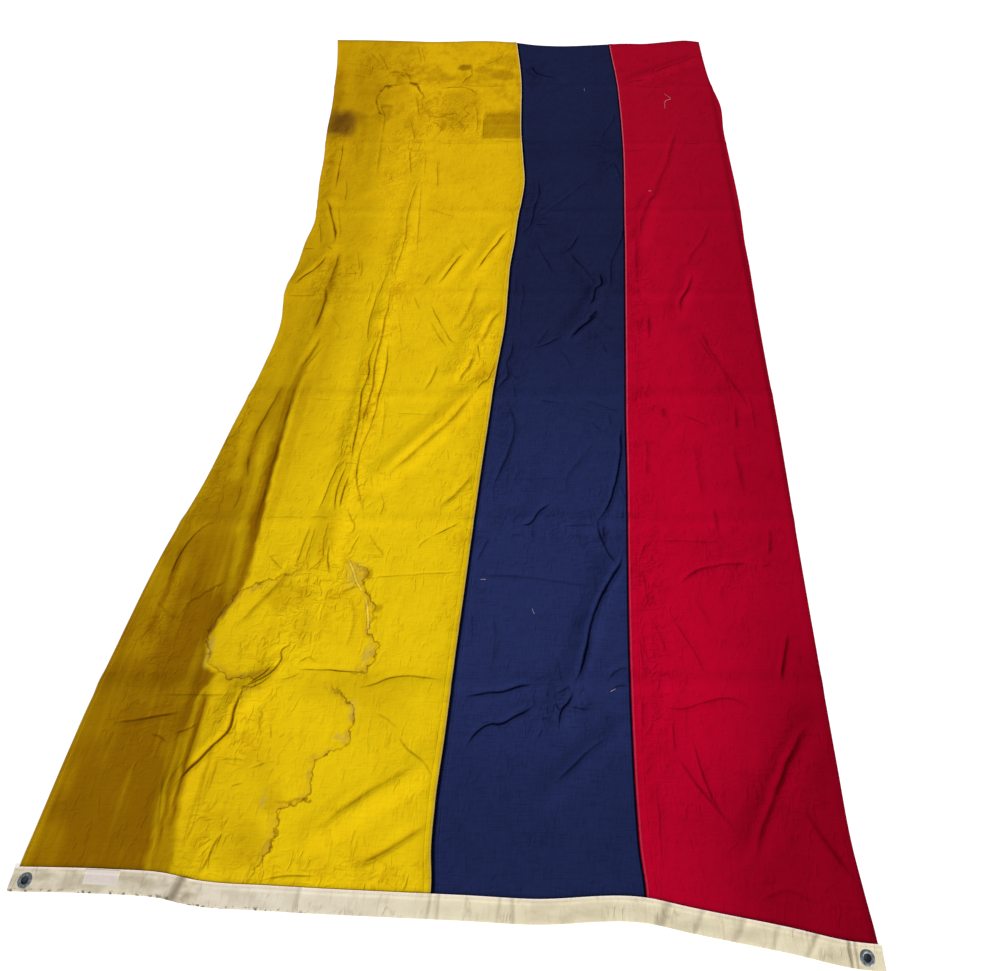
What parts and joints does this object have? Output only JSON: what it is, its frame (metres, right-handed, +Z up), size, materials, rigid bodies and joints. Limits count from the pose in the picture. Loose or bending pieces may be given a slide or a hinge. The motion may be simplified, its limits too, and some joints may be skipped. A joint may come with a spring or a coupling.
{
  "type": "tricolour cloth flag with canvas heading",
  "caption": "Long worn cotton flag of yellow, blue and red panels laid out flat, with a folded canvas heading, metal eyelets near its corners and a blank label.",
  "frame": {"origin": "on the surface that the flag lies on, under the middle of its box", "axes": "+X across the flag along its hoist, from the yellow edge to the red edge, +Y along the fly, away from the heading, +Z up"},
  "size_m": [1.5356, 3.144, 0.0159],
  "materials": {
    "yellow_cotton": "plain woven cotton, stained and creased",
    "blue_cotton": "plain woven cotton, creased",
    "red_cotton": "plain woven cotton, creased",
    "canvas": "heavy unbleached canvas, soiled",
    "eyelet_metal": "dull tarnished metal",
    "label_tape": "woven tape, blank"
  },
  "bodies": {
    "root": {"panel_yellow": "yellow_cotton", "panel_blue": "blue_cotton", "panel_red": "red_cotton", "heading": "canvas", "eyelet_left": "eyelet_metal", "eyelet_right": "eyelet_metal", "label": "label_tape"}
  },
  "joints": []
}
